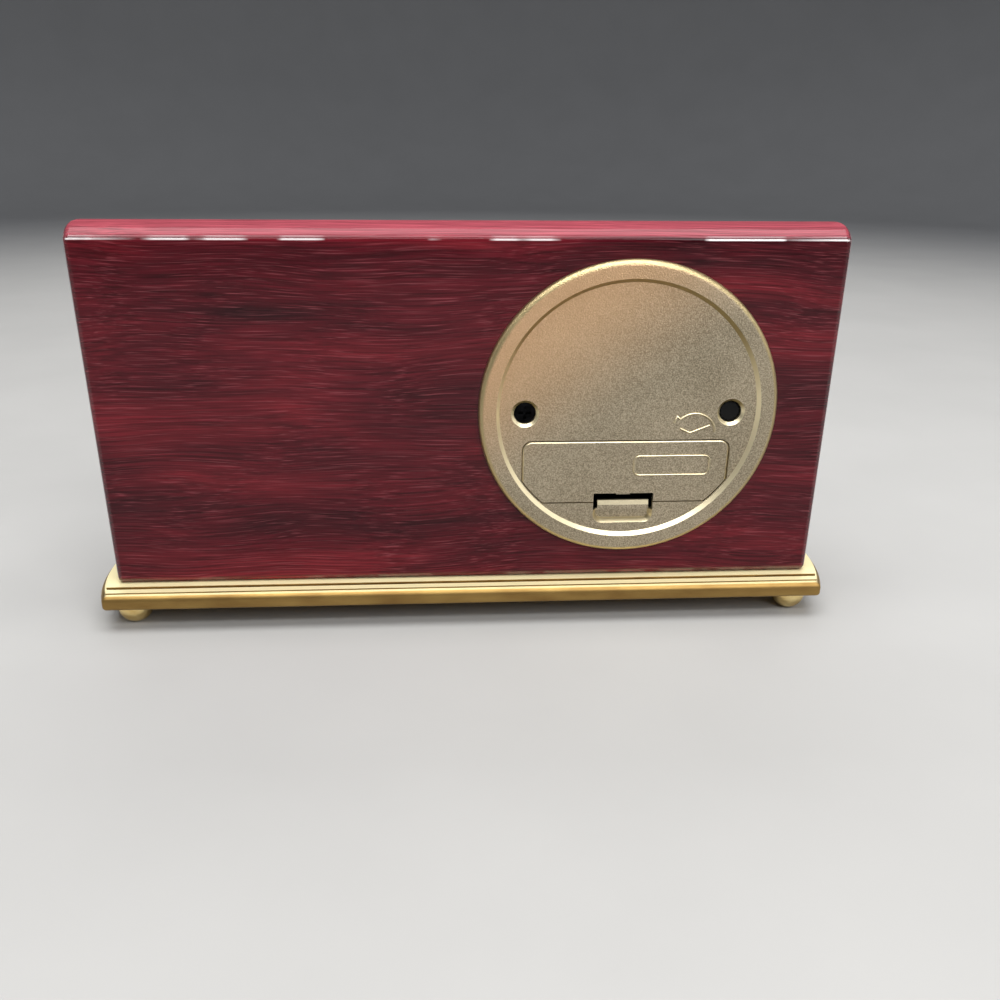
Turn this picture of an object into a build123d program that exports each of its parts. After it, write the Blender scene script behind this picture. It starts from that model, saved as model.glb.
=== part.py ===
from build123d import *
import os
from math import atan2, cos, hypot, pi, radians, sin, sqrt

# Desk clock: a lacquered wooden block on a moulded brass base with four ball feet.
# A battery movement sits in a bore through the block, with the dial on the front and a cap behind.
# Millimetres. The origin is on the table under the middle of the base, +Z up, the dial faces -Y.

# Fits and cutting
overrun = 1.0  # how far a cut runs past the face it opens
running_fit = 0.08  # radial gap of an arbor in its hole
press_gap = 0.02  # radial gap left in a pressed or screwed joint
drop_in_gap = 0.3  # radial gap of an insert in its bore
cover_gap = 0.34  # gap round the battery door
rest_gap = 0.1  # gap between a cover and the ledge behind it

# Wooden block, with ends that bow outward in plan and a crowned top
block_width = 200.0
block_depth = 25.0
block_height = 96.3  # up to the long edges of the top
block_crown = 2.8  # rise of the top between them
block_bow = 2.2
block_edge = 1.8
clock_offset = 44.0  # dial centre to the left of the middle, seen from the front
clock_rise = 49.8  # dial centre above the base

# Base moulding: a flat top plate, a narrow tread and a rounded nose below it
base_thick = 5.5
plate_overhang = 2.0
plate_end_step = 2.9
plate_bow = 2.3
plate_riser = 0.5
groove_width = 0.5  # groove in the tread along the long foot of the plate
groove_depth = 0.45
tread_width = 2.7
tread_end_width = 0.4
tread_riser = 0.35
nose_reach = 1.6
nose_end_reach = 1.4
nose_round = 2.3
nose_under_round = 1.2
nose_round_share = 0.46  # most of the nose's height that one rounding may take
base_corner = 0.8

# Feet and base screws
foot_diameter = 10.0
foot_height = 7.0
foot_pad_radius = 1.9  # flat that the ball stands on
foot_inset = 8.8  # foot centre in from the long edge of the base
foot_end_inset = 10.0  # foot centre in from the end of the base
foot_stud_radius = 1.5
foot_stud_length = 4.0
wood_screw_offset = 80.0
wood_screw_head_radius = 3.6
wood_screw_radius = 1.75
wood_screw_reach = 16.0  # length in the wood

# Battery cell
cell_diameter = 14.5
cell_length = 50.5
cell_nub_radius = 2.7
cell_nub_height = 1.2
cell_edge = 0.6
cell_clear = 0.35  # gap between the cell and the wall or train beside it

# Case, bezel and lens
case_wall = 1.6
case_neck_step = 0.55
case_neck_depth = 3.0
flange_lap = 3.65  # how far the bezel and the cap lap over the block
bezel_proud = 4.5
bezel_lip = 1.6
bezel_lip_width = 1.4
bezel_round = 2.2
bezel_inner_round = 0.8
lens_thick = 1.6
dial_room = 5.2  # depth between the lens and the dial
dial_thick = 0.6
dial_ring_wall = 2.6
dial_hole_clear = 0.7

# Rear cap
cap_proud = 2.0
cap_round = 1.7
cap_rim_width = 4.85
cap_recess = 1.1
cap_recess_slope = 1.0
cap_web = 1.8
cap_spigot_depth = 5.0
cap_spigot_wall = 1.4
control_offset = 28.5  # knob and cap screw each side of the centre
control_hole_radius = 3.05
control_countersink = 0.8

# Cap screw
cap_screw_head_radius = 2.75
cap_screw_head_height = 3.0
cap_screw_slot_width = 0.8
cap_screw_slot_depth = 1.0
cap_screw_radius = 1.3
cap_screw_reach = 8.0
cap_boss_wall = 1.2
cap_boss_floor = 1.4

# Battery door with two hooks at its top edge and a spring latch at its bottom edge
door_thick = 1.0
door_side_margin = 3.7
door_top_margin = 1.75
door_corner = 2.6
door_round = 0.45  # rounding of the top edge, on which the door turns
door_rim_gap = 0.6
door_ledge = 1.2
hook_width = 6.0
hook_offset = 17.0
hook_thick = 1.0
hook_reach = 1.5
hook_root = 1.6
latch_width = 14.6
latch_slot_width = 17.1
latch_slot_height = 2.5
latch_depth = 4.2
latch_wall = 0.8
latch_rise = 0.3  # top of the lip above the door's bottom edge
latch_lip = 2.6
latch_lip_thick = 0.9
latch_lip_slope = 1.3  # height of the slope on the lip's upper half
latch_tab_width = 3.8
latch_tab_height = 0.5
scoop_height = 6.5
scoop_corner = 2.5
scoop_taper = 30.0
scoop_floor = 0.9
scoop_land = 0.4  # gap below the latch lip before the scoop's floor starts

# Gear train
wheel_thick = 0.9
wheel_gap = 0.5
train_layers = 6
train_reach = 10.5  # third and intermediate wheels from the centre
rotor_reach = 6.72  # rotor from the intermediate wheel
third_angle = 30.0
intermediate_angle = 120.0
rotor_angle = 60.0
arbor_radius = 0.35
second_arbor_radius = 0.4
minute_tube_radius = 1.0
hour_tube_radius = 1.85
stud_radius = 0.6
boss_radius = 1.25
pivot_depth = 1.0
spoke_ring_shares = (0.45, 0.78)
spoke_hole_count = 5
addendum_share = 0.85
dedendum_share = 1.15
tooth_root_share = 0.27
tooth_tip_share = 0.09

# Setting knob
knob_radius = 2.72
knob_recess = 1.3
knob_height = 3.2
knob_stem_radius = 1.5
knob_pivot_radius = 0.9
knob_flutes = 14
knob_flute_radius = 0.28

# Bridge over the train, with its pillars and screws
bridge_thick = 1.4
bridge_margin = 1.0
pillar_radius = 2.2
pillar_shares = ((-0.5, 0.36), (0.62, 0.33), (0.5, -0.15), (-0.72, -0.16))
bridge_screw_head_radius = 1.7
bridge_screw_head_height = 1.0
bridge_screw_radius = 0.8
bridge_screw_reach = 5.0

# Stepping motor
magnet_radius = 3.0
magnet_thick = 1.8
air_gap = 0.4
stator_thick = 0.8
stator_length = 24.0
stator_width = 9.0
stator_leg = 4.0
standoff_radius = 1.5
coil_rise = 10.5
core_thick = 0.8
core_width = 3.0
bobbin_radius = 2.0
bobbin_flange_radius = 3.2
bobbin_flange_thick = 0.8
winding_radius = 2.9
winding_gap = 0.1

# Circuit board and its parts
board_width = 14.0
board_height = 15.0
board_thick = 0.8
chip_radius = 2.4
chip_height = 0.9
chip_offset = 3.4
chip_round_share = 0.8
crystal_radius = 1.0
crystal_length = 6.0

# Battery contacts and cradle
contact_thick = 0.4
contact_height = 8.0
contact_room = 1.5
contact_boss_share = 0.7
contact_leaf_share = 0.25
cradle_offset = 14.0
cradle_thick = 2.0
cradle_width = 10.0
cradle_height = 4.6
end_rib_thick = 1.2

# Hands, set to ten past ten
hand_thick = 0.4
hand_step = 1.25  # from one hand to the next
hour_hand_length = 20.0
hour_hand_width = 2.6
minute_hand_length = 29.0
minute_hand_width = 2.0
second_hand_length = 30.0
second_hand_width = 0.7
second_hand_tail = 9.0
hand_tip_share = 0.35
hub_wall = 1.2
hour_hand_angle = 305.0
minute_hand_angle = 60.0
second_hand_angle = 0.0
tube_stand = 0.3  # how far a tube stands out past its hand

# Tooth counts
cannon_teeth = 10
minute_teeth = 30
minute_pinion_teeth = 8
hour_teeth = 32
idler_teeth = 16
rotor_teeth = 8
intermediate_teeth = 40
intermediate_pinion_teeth = 10
second_teeth = 60
second_pinion_teeth = 8
third_teeth = 64
third_pinion_teeth = 8
centre_teeth = 60

# Modules, from the distances that the wheels have to span
setting_module = 2 * control_offset / (cannon_teeth + 2 * minute_teeth + 5 * idler_teeth)
third_module = 2 * train_reach / (second_pinion_teeth + third_teeth)
centre_module = 2 * train_reach / (third_pinion_teeth + centre_teeth)
second_module = 2 * train_reach / (intermediate_pinion_teeth + second_teeth)
rotor_module = 2 * rotor_reach / (rotor_teeth + intermediate_teeth)

# Levels, from the table upward and from the dial side to the back
base_bottom = foot_height
base_top = base_bottom + base_thick
clock_x = -clock_offset
clock_z = base_top + clock_rise
front_y = -block_depth / 2
back_y = block_depth / 2
bezel_face = front_y - bezel_proud
lens_front = bezel_face + bezel_lip
lens_back = lens_front + lens_thick
dial_front = lens_back + dial_room
case_front = dial_front + dial_thick
wall_back = case_front + case_wall
neck_back = case_front + case_neck_depth
cap_face = back_y + cap_proud
floor_y = cap_face - cap_recess
web_inner = floor_y - cap_web
case_back = back_y - cap_spigot_depth
magnet_front = wall_back + train_layers * (wheel_thick + wheel_gap) + wheel_gap
magnet_back = magnet_front + magnet_thick
stator_front = magnet_front + (magnet_thick - stator_thick) / 2
stator_back = stator_front + stator_thick
bridge_front = magnet_back + wheel_gap
bridge_back = bridge_front + bridge_thick
board_back = bridge_back + board_thick

# Radii that follow from the cell, which fills the lower part of the case
wheel_reach = centre_module * (centre_teeth / 2 + addendum_share)
cell_radius = cell_diameter / 2
cell_drop = wheel_reach + cell_clear + cell_radius
cell_y = web_inner - cell_clear - cell_radius
case_inner = hypot(cell_length / 2, cell_drop + cell_radius) + cell_clear
case_radius = case_inner + case_wall
bore_radius = case_radius + 2 * drop_in_gap
neck_radius = case_radius - case_neck_step
seat_radius = neck_radius + press_gap
barrel_radius = bore_radius - drop_in_gap
flange_radius = bore_radius + flange_lap
recess_radius = flange_radius - cap_rim_width
recess_floor_radius = recess_radius - cap_recess_slope
dial_radius = neck_radius - press_gap
dial_opening = seat_radius - bezel_lip_width

# Places of the wheels, right and up from the dial centre seen from the front
minute_distance = setting_module * (cannon_teeth + minute_teeth) / 2
idler_pitch = setting_module * idler_teeth
centre_spot = (0, 0)
minute_spot = (-minute_distance, 0)
first_idler_spot = (-minute_distance - setting_module * (minute_teeth + idler_teeth) / 2, 0)
second_idler_spot = (first_idler_spot[0] - idler_pitch, 0)
knob_spot = (-control_offset, 0)
cap_screw_spot = (control_offset, 0)


def polar(distance, angle, centre=(0, 0)):
    return (centre[0] + distance * cos(radians(angle)), centre[1] + distance * sin(radians(angle)))


third_spot = polar(train_reach, third_angle)
intermediate_spot = polar(train_reach, intermediate_angle)
rotor_spot = polar(rotor_reach, rotor_angle, intermediate_spot)
pillar_spots = [(case_inner * x, case_inner * z) for x, z in pillar_shares]
coil_z = rotor_spot[1] + coil_rise
leg_offset = (stator_length - stator_leg) / 2
standoff_spots = [(rotor_spot[0] + side * leg_offset, rotor_spot[1]) for side in (-1, 1)]

# Door and scoop, measured up from the dial centre
door_width = cell_length + 2 * door_side_margin
door_height = cell_diameter + 2 * door_top_margin
door_top = door_height / 2 - cell_drop
door_bottom = -door_height / 2 - cell_drop
door_arc_radius = recess_floor_radius - door_rim_gap
slot_top = door_bottom + latch_slot_height
lip_top = door_bottom + latch_rise
lip_bottom = lip_top - latch_lip
latch_bend = (slot_top - lip_top + latch_wall) / 2
scoop_top = lip_bottom - scoop_land
scoop_bottom = door_bottom - scoop_height


def facing(y, spot=(0, 0), turn=0):
    """Plane across the clock's axis at depth y, looking out of the dial, turned clockwise."""
    right = (cos(radians(turn)), 0, -sin(radians(turn)))
    return Plane((clock_x + spot[0], y, clock_z + spot[1]), x_dir=right, z_dir=(0, -1, 0))


def rod(front, back, radius, spot=(0, 0), mode=Mode.ADD):
    """Round bar along the clock's axis between two depths."""
    with Locations(facing(back, spot)):
        Cylinder(radius, back - front, align=(Align.CENTER, Align.CENTER, Align.MIN), mode=mode)


def layer(number):
    """Front and back of one layer of the gear train, counted from the dial side."""
    front = wall_back + wheel_gap + number * (wheel_thick + wheel_gap)
    return front, front + wheel_thick


def mesh_phase(phase, teeth, next_teeth, spot, next_spot):
    """Turn of the next wheel that puts its gap where this wheel's tooth comes."""
    line = atan2(next_spot[1] - spot[1], next_spot[0] - spot[0])
    return line + pi + pi / next_teeth - teeth / next_teeth * (phase - line)


def toothed(teeth, module, phase=0):
    """Outline of a toothed wheel."""
    pitch = 2 * pi / teeth
    tip = module * (teeth / 2 + addendum_share)
    root = module * (teeth / 2 - dedendum_share)
    rise = ((root, -tooth_root_share), (tip, -tooth_tip_share))
    fall = ((tip, tooth_tip_share), (root, tooth_root_share))
    points = []
    for number in range(teeth):
        for radius, share in rise + fall:
            angle = phase + pitch * (number + share)
            points.append((radius * cos(angle), radius * sin(angle)))
    with BuildSketch() as outline:
        with BuildLine():
            Polyline(points, close=True)
        make_face()
    return outline.sketch


def spoked(teeth, module, phase=0):
    """Outline of a large wheel with round lightening holes between its hub and its rim."""
    radius = module * teeth / 2
    inner_share, outer_share = spoke_ring_shares
    with BuildSketch() as outline:
        add(toothed(teeth, module, phase))
        with PolarLocations(radius * (inner_share + outer_share) / 2, spoke_hole_count):
            Circle(radius * (outer_share - inner_share) / 2, mode=Mode.SUBTRACT)
    return outline.sketch


def bowed_plan(corner, half_depth, bow, side_grow=0, end_grow=0):
    """Plan of a bar with straight long edges and bowed ends, its sides and ends moved outward."""
    radius = (half_depth**2 + bow**2) / (2 * bow) + end_grow
    tip = corner + bow + end_grow
    edge = half_depth + side_grow
    far = tip - radius + sqrt(radius**2 - edge**2)
    with BuildSketch() as plan:
        with BuildLine():
            Line((-far, -edge), (far, -edge))
            ThreePointArc((far, -edge), (tip, 0), (far, edge))
            Line((far, edge), (-far, edge))
            ThreePointArc((-far, edge), (-tip, 0), (-far, -edge))
        make_face()
    return plan.sketch


def door_outline(grow=0):
    """Door seen along the axis: a wide plate with its lower corners cut to the round cap."""
    with BuildSketch() as outline:
        with Locations((0, -cell_drop)):
            Rectangle(door_width + 2 * grow, door_height + 2 * grow)
        fillet(outline.vertices().group_by(Axis.Y)[-1], door_corner + grow)
        Circle(door_arc_radius + grow, mode=Mode.INTERSECT)
    return outline.sketch


def hand_outline(length, width, hub, bore, tail=0):
    """Tapered hand pointing up, with a round hub and an open bore."""
    with BuildSketch() as outline:
        with BuildLine():
            Polyline(
                (-width / 2, -tail),
                (width / 2, -tail),
                (width * hand_tip_share / 2, length),
                (-width * hand_tip_share / 2, length),
                close=True,
            )
        make_face()
        Circle(hub)
        Circle(bore, mode=Mode.SUBTRACT)
    return outline.sketch


plan_corner = block_width / 2 + plate_end_step
plan_half_depth = block_depth / 2 + plate_overhang
nose_end_grow = tread_end_width + nose_end_reach
base_half_length = plan_corner + plate_bow + nose_end_grow
base_half_depth = plan_half_depth + tread_width + nose_reach
foot_x = base_half_length - foot_end_inset
foot_y = base_half_depth - foot_inset
clock_axis = Axis((clock_x, 0, clock_z), (0, 1, 0))
section = Plane((clock_x, 0, clock_z), x_dir=(1, 0, 0), z_dir=(0, 0, 1))

# Wooden block with the bore for the clock and two pilot holes from below
with BuildPart() as wood_block:
    with BuildSketch(Plane.XY.offset(base_top)):
        add(bowed_plan(block_width / 2, block_depth / 2, block_bow))
    extrude(amount=block_height + block_crown)
    with BuildSketch(Plane.YZ):
        with BuildLine():
            Polyline(
                (block_depth / 2, base_top + block_height),
                (block_depth / 2, base_top),
                (-block_depth / 2, base_top),
                (-block_depth / 2, base_top + block_height),
            )
            ThreePointArc(
                (-block_depth / 2, base_top + block_height),
                (0, base_top + block_height + block_crown),
                (block_depth / 2, base_top + block_height),
            )
        make_face()
    extrude(amount=block_width, both=True, mode=Mode.INTERSECT)
    fillet(wood_block.edges(), block_edge)
    rod(front_y - overrun, back_y + overrun, bore_radius, mode=Mode.SUBTRACT)
    with Locations(*[(side * wood_screw_offset, 0, base_top) for side in (-1, 1)]):
        Cylinder(
            wood_screw_radius + press_gap,
            wood_screw_reach + overrun,
            align=(Align.CENTER, Align.CENTER, Align.MIN),
            mode=Mode.SUBTRACT,
        )

# Base moulding: nose, tread and top plate, with holes for the screws and the feet
nose_top = base_top - plate_riser - tread_riser
foot_spots = [(side * foot_x, depth * foot_y) for side in (-1, 1) for depth in (-1, 1)]
with BuildPart() as base_moulding:
    with BuildSketch(Plane.XY.offset(base_bottom)):
        add(bowed_plan(plan_corner, plan_half_depth, plate_bow, tread_width + nose_reach, nose_end_grow))
    extrude(amount=nose_top - base_bottom)
    fillet(base_moulding.edges().filter_by(Axis.Z), base_corner)
    nose_limit = nose_round_share * (nose_top - base_bottom)
    upper_round = min(nose_round, nose_limit)
    fillet(base_moulding.faces().filter_by(Axis.Z).sort_by(Axis.Z)[-1].edges(), upper_round)
    under_round = min(nose_under_round, nose_limit)
    fillet(base_moulding.faces().filter_by(Axis.Z).sort_by(Axis.Z)[0].edges(), under_round)
    with BuildSketch(Plane.XY.offset(base_bottom + base_thick / 2)):
        add(bowed_plan(plan_corner, plan_half_depth, plate_bow, tread_width, tread_end_width))
    extrude(amount=base_top - plate_riser - base_bottom - base_thick / 2)
    with BuildSketch(Plane.XY.offset(base_top - plate_riser - groove_depth)):
        add(bowed_plan(plan_corner, plan_half_depth, plate_bow, groove_width))
    extrude(amount=groove_depth + overrun, mode=Mode.SUBTRACT)
    with BuildSketch(Plane.XY.offset(base_bottom + base_thick / 2)):
        add(bowed_plan(plan_corner, plan_half_depth, plate_bow))
    extrude(amount=base_thick / 2)
    with Locations(*[(x, y, base_bottom) for x, y in foot_spots]):
        Cylinder(
            foot_stud_radius + press_gap,
            foot_stud_length + press_gap,
            align=(Align.CENTER, Align.CENTER, Align.MIN),
            mode=Mode.SUBTRACT,
        )
    underside = Plane((0, 0, base_bottom), z_dir=(0, 0, -1))
    with Locations(underside), GridLocations(2 * wood_screw_offset, 0, 2, 1):
        CounterSinkHole(
            wood_screw_radius + press_gap,
            wood_screw_head_radius + press_gap,
            depth=base_thick + overrun,
        )

# Two countersunk wood screws that hold the block on the base
head_top = base_bottom + wood_screw_head_radius - wood_screw_radius
with BuildPart() as base_screws:
    with BuildSketch(Plane.XZ):
        with BuildLine():
            Polyline(
                (wood_screw_offset, base_bottom),
                (wood_screw_offset + wood_screw_head_radius, base_bottom),
                (wood_screw_offset + wood_screw_radius, head_top),
                (wood_screw_offset + wood_screw_radius, base_top + wood_screw_reach - wood_screw_radius),
                (wood_screw_offset, base_top + wood_screw_reach),
                close=True,
            )
        make_face()
    revolve(axis=Axis((wood_screw_offset, 0, 0), (0, 0, 1)))
    mirror(about=Plane.YZ)

# Four ball feet with a stud
ball_rise = sqrt((foot_diameter / 2) ** 2 - foot_pad_radius**2)
feet = {}
for place, spot in zip(("front_left", "back_left", "front_right", "back_right"), foot_spots):
    with BuildPart() as foot:
        with Locations((spot[0], spot[1], ball_rise)):
            Sphere(foot_diameter / 2)
        split(bisect_by=Plane.XY.offset(foot_height), keep=Keep.BOTTOM)
        split(bisect_by=Plane.XY, keep=Keep.TOP)
        with Locations((spot[0], spot[1], foot_height / 2)):
            Cylinder(
                foot_stud_radius,
                foot_height / 2 + foot_stud_length,
                align=(Align.CENTER, Align.CENTER, Align.MIN),
            )
    feet["foot_" + place] = foot

# Front bezel: a rounded flange, a lip over the lens and a barrel in the bore
with BuildPart() as front_bezel:
    with BuildSketch(section):
        with BuildLine():
            Polyline(
                (dial_opening, bezel_face),
                (flange_radius, bezel_face),
                (flange_radius, front_y),
                (barrel_radius, front_y),
                (barrel_radius, neck_back),
                (seat_radius, neck_back),
                (seat_radius, lens_front),
                (dial_opening, lens_front),
                close=True,
            )
        profile = make_face()
        face_corners = profile.vertices().group_by(Axis.Y)[0].sort_by(Axis.X)
        fillet(face_corners[-1], bezel_round)
        fillet(face_corners[0], bezel_inner_round)
    revolve(axis=clock_axis)

with BuildPart() as lens:
    rod(lens_front, lens_back, dial_radius)

# Ring that keeps the lens and the dial apart, with a sloped inner face
with BuildPart() as dial_ring:
    with BuildSketch(section):
        with BuildLine():
            Polyline(
                (dial_radius - dial_ring_wall / 2, lens_back),
                (dial_radius, lens_back),
                (dial_radius, dial_front),
                (dial_radius - dial_ring_wall, dial_front),
                close=True,
            )
        make_face()
    revolve(axis=clock_axis)

with BuildPart() as dial:
    rod(dial_front, case_front, dial_radius)
    rod(dial_front - overrun, case_front + overrun, hour_tube_radius + dial_hole_clear, mode=Mode.SUBTRACT)

# Case: a cup that holds the train, the cell cradle and the posts
hour_front, hour_back = layer(0)
setting_front, setting_back = layer(1)
centre_front, centre_back = layer(2)
third_front, third_back = layer(3)
second_front, second_back = layer(4)
rotor_front, rotor_back = layer(5)
train_boss = centre_front - wheel_gap
rotor_boss = rotor_front - wheel_gap
screw_tip = bridge_front - bridge_screw_reach
cap_screw_tip = case_back - cap_screw_reach
idler_spots = (first_idler_spot, second_idler_spot)
with BuildPart() as movement_case:
    rod(neck_back, case_back, case_radius)
    rod(case_front, neck_back, neck_radius)
    rod(wall_back, case_back + overrun, case_inner, mode=Mode.SUBTRACT)
    rod(case_front - overrun, wall_back + overrun, hour_tube_radius + running_fit, mode=Mode.SUBTRACT)
    rod(wall_back, setting_back, stud_radius, minute_spot)
    for spot in idler_spots:
        rod(wall_back, setting_front - rest_gap, boss_radius, spot)
        rod(wall_back, setting_back, stud_radius, spot)
    for top, spot in ((train_boss, third_spot), (train_boss, intermediate_spot), (rotor_boss, rotor_spot)):
        rod(wall_back, top, boss_radius, spot)
        rod(top - pivot_depth, top + wheel_gap, arbor_radius + running_fit, spot, Mode.SUBTRACT)
    rod(wall_back, setting_front - rest_gap, knob_pivot_radius + boss_radius, knob_spot)
    rod(wall_back, setting_front, knob_pivot_radius + running_fit, knob_spot, Mode.SUBTRACT)
    for spot in pillar_spots:
        rod(wall_back, bridge_front, pillar_radius, spot)
        rod(screw_tip, bridge_front, bridge_screw_radius + press_gap, spot, Mode.SUBTRACT)
    rod(wall_back, case_back, cap_screw_radius + cap_boss_wall, cap_screw_spot)
    rod(cap_screw_tip, case_back, cap_screw_radius + press_gap, cap_screw_spot, Mode.SUBTRACT)
    for side in (-1, 1):
        with Locations(facing(wall_back + cradle_height, (side * cradle_offset, -cell_drop))):
            Box(cradle_thick, cradle_width, cradle_height, align=(Align.CENTER, Align.CENTER, Align.MIN))
        rib_centre = cell_length / 2 + contact_room + end_rib_thick / 2
        with Locations(facing(cell_y, (side * rib_centre, -cell_drop))):
            Box(
                end_rib_thick,
                contact_height,
                cell_y - wall_back,
                align=(Align.CENTER, Align.CENTER, Align.MIN),
            )
    with Locations(Location((clock_x, cell_y, clock_z - cell_drop), (0, 90, 0))):
        Cylinder(cell_radius + rest_gap, cell_length, mode=Mode.SUBTRACT)

# Bridge: a plate behind the train, with pivot holes and two standoffs for the stator
with BuildPart() as train_bridge:
    with BuildSketch(facing(bridge_back)):
        with Locations(*pillar_spots):
            Circle(pillar_radius + bridge_margin)
        with Locations(knob_spot):
            Circle(knob_stem_radius + bridge_margin)
        with Locations(rotor_spot):
            Circle(pillar_radius + bridge_margin)
        make_hull()
    extrude(amount=bridge_thick)
    for spot in standoff_spots:
        rod(stator_back, bridge_front, standoff_radius, spot)
    pivot_spots = (third_spot, intermediate_spot, rotor_spot)
    bridge_holes = [(arbor_radius + running_fit, spot) for spot in pivot_spots]
    bridge_holes.append((second_arbor_radius + running_fit, centre_spot))
    bridge_holes.append((knob_stem_radius + running_fit, knob_spot))
    bridge_holes += [(bridge_screw_radius + press_gap, spot) for spot in pillar_spots]
    for radius, spot in bridge_holes:
        rod(bridge_front - overrun, bridge_back + overrun, radius, spot, Mode.SUBTRACT)

with BuildPart() as bridge_screws:
    for spot in pillar_spots:
        rod(screw_tip, bridge_back, bridge_screw_radius, spot)
        rod(bridge_back, bridge_back + bridge_screw_head_height, bridge_screw_head_radius, spot)

# Stator: a bar round the rotor with two legs that reach up to the coil
with BuildPart() as stator:
    with BuildSketch(facing(stator_back, rotor_spot)):
        Rectangle(stator_length, stator_width)
        with Locations(*[(side * leg_offset, 0) for side in (-1, 1)]):
            Rectangle(stator_leg, coil_rise + core_width / 2, align=(Align.CENTER, Align.MIN))
        Circle(magnet_radius + air_gap, mode=Mode.SUBTRACT)
    extrude(amount=stator_thick)

# Coil: a core strip on the legs, a bobbin round it and the winding between the bobbin's flanges
coil_length = stator_length - 2 * stator_leg
coil_centre = (clock_x + rotor_spot[0], stator_front - core_thick / 2, clock_z + coil_z)
along_coil = Location(coil_centre, (0, 90, 0))
flange_shift = (coil_length - bobbin_flange_thick) / 2
with BuildPart() as coil_core:
    with Locations(coil_centre):
        Box(stator_length, core_thick, core_width)

with BuildPart() as coil_bobbin:
    with Locations(along_coil):
        Cylinder(bobbin_radius, coil_length)
        with Locations((0, 0, -flange_shift), (0, 0, flange_shift)):
            Cylinder(bobbin_flange_radius, bobbin_flange_thick)
    with Locations(coil_centre):
        Box(
            coil_length + overrun,
            core_thick + 2 * press_gap,
            core_width + 2 * press_gap,
            mode=Mode.SUBTRACT,
        )

with BuildPart() as coil_winding:
    with Locations(along_coil):
        winding_length = coil_length - 2 * bobbin_flange_thick - 2 * winding_gap
        Cylinder(winding_radius, winding_length)
        Cylinder(bobbin_radius + press_gap, winding_length + overrun, mode=Mode.SUBTRACT)

# Rotor: a disc magnet and its pinion on one arbor
with BuildPart() as rotor_magnet:
    rod(magnet_front, magnet_back, magnet_radius, rotor_spot)
    rod(magnet_front - overrun, magnet_back + overrun, arbor_radius + press_gap, rotor_spot, Mode.SUBTRACT)

with BuildPart() as rotor_pinion:
    with BuildSketch(facing(rotor_back, rotor_spot)):
        add(toothed(rotor_teeth, rotor_module))
    extrude(amount=wheel_thick)
    rod(rotor_boss - pivot_depth + rest_gap, bridge_front + pivot_depth, arbor_radius, rotor_spot)
    rod(rotor_back, magnet_front, 2 * arbor_radius, rotor_spot)

# Intermediate wheel and its pinion
with BuildPart() as intermediate_wheel:
    phase = mesh_phase(0, rotor_teeth, intermediate_teeth, rotor_spot, intermediate_spot)
    with BuildSketch(facing(rotor_back, intermediate_spot)):
        add(spoked(intermediate_teeth, rotor_module, phase))
    extrude(amount=wheel_thick)
    with BuildSketch(facing(rotor_front, intermediate_spot)):
        add(toothed(intermediate_pinion_teeth, second_module))
    extrude(amount=rotor_front - second_front)
    rod(train_boss - pivot_depth + rest_gap, bridge_front + pivot_depth, arbor_radius, intermediate_spot)

# Second wheel, its pinion and the long arbor that carries the second hand
hour_hand_back = dial_front - hand_step + hand_thick
minute_hand_back = hour_hand_back - hand_step
second_hand_back = minute_hand_back - hand_step
with BuildPart() as second_wheel:
    phase = mesh_phase(0, intermediate_pinion_teeth, second_teeth, intermediate_spot, centre_spot)
    with BuildSketch(facing(second_back)):
        add(spoked(second_teeth, second_module, phase))
    extrude(amount=wheel_thick)
    with BuildSketch(facing(second_front)):
        add(toothed(second_pinion_teeth, third_module))
    extrude(amount=second_front - third_front)
    rod(second_hand_back - hand_thick - tube_stand, bridge_front + pivot_depth, second_arbor_radius)

# Third wheel and its pinion
with BuildPart() as third_wheel:
    phase = mesh_phase(0, second_pinion_teeth, third_teeth, centre_spot, third_spot)
    with BuildSketch(facing(third_back, third_spot)):
        add(spoked(third_teeth, third_module, phase))
    extrude(amount=wheel_thick)
    with BuildSketch(facing(third_front, third_spot)):
        add(toothed(third_pinion_teeth, centre_module))
    extrude(amount=third_front - centre_front)
    rod(train_boss - pivot_depth + rest_gap, bridge_front + pivot_depth, arbor_radius, third_spot)

# Centre wheel, which drags the cannon pinion round by friction
with BuildPart() as centre_wheel:
    phase = mesh_phase(0, third_pinion_teeth, centre_teeth, third_spot, centre_spot)
    with BuildSketch(facing(centre_back)):
        add(spoked(centre_teeth, centre_module, phase))
        Circle(minute_tube_radius + running_fit, mode=Mode.SUBTRACT)
    extrude(amount=wheel_thick)

# Cannon pinion with the tube that carries the minute hand
with BuildPart() as cannon_pinion:
    with BuildSketch(facing(setting_back)):
        add(toothed(cannon_teeth, setting_module))
    extrude(amount=wheel_thick)
    rod(minute_hand_back - hand_thick - tube_stand, centre_back, minute_tube_radius)
    rod(
        minute_hand_back - hand_thick - tube_stand - overrun,
        centre_back + overrun,
        second_arbor_radius + running_fit,
        mode=Mode.SUBTRACT,
    )

# Minute wheel and its pinion on a fixed stud
minute_phase = mesh_phase(0, cannon_teeth, minute_teeth, centre_spot, minute_spot)
with BuildPart() as minute_wheel:
    with BuildSketch(facing(setting_back, minute_spot)):
        add(spoked(minute_teeth, setting_module, minute_phase))
    extrude(amount=wheel_thick)
    with BuildSketch(facing(setting_front, minute_spot)):
        add(toothed(minute_pinion_teeth, setting_module))
    extrude(amount=setting_front - hour_front)
    rod(hour_front - overrun, setting_back + overrun, stud_radius + running_fit, minute_spot, Mode.SUBTRACT)

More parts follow.
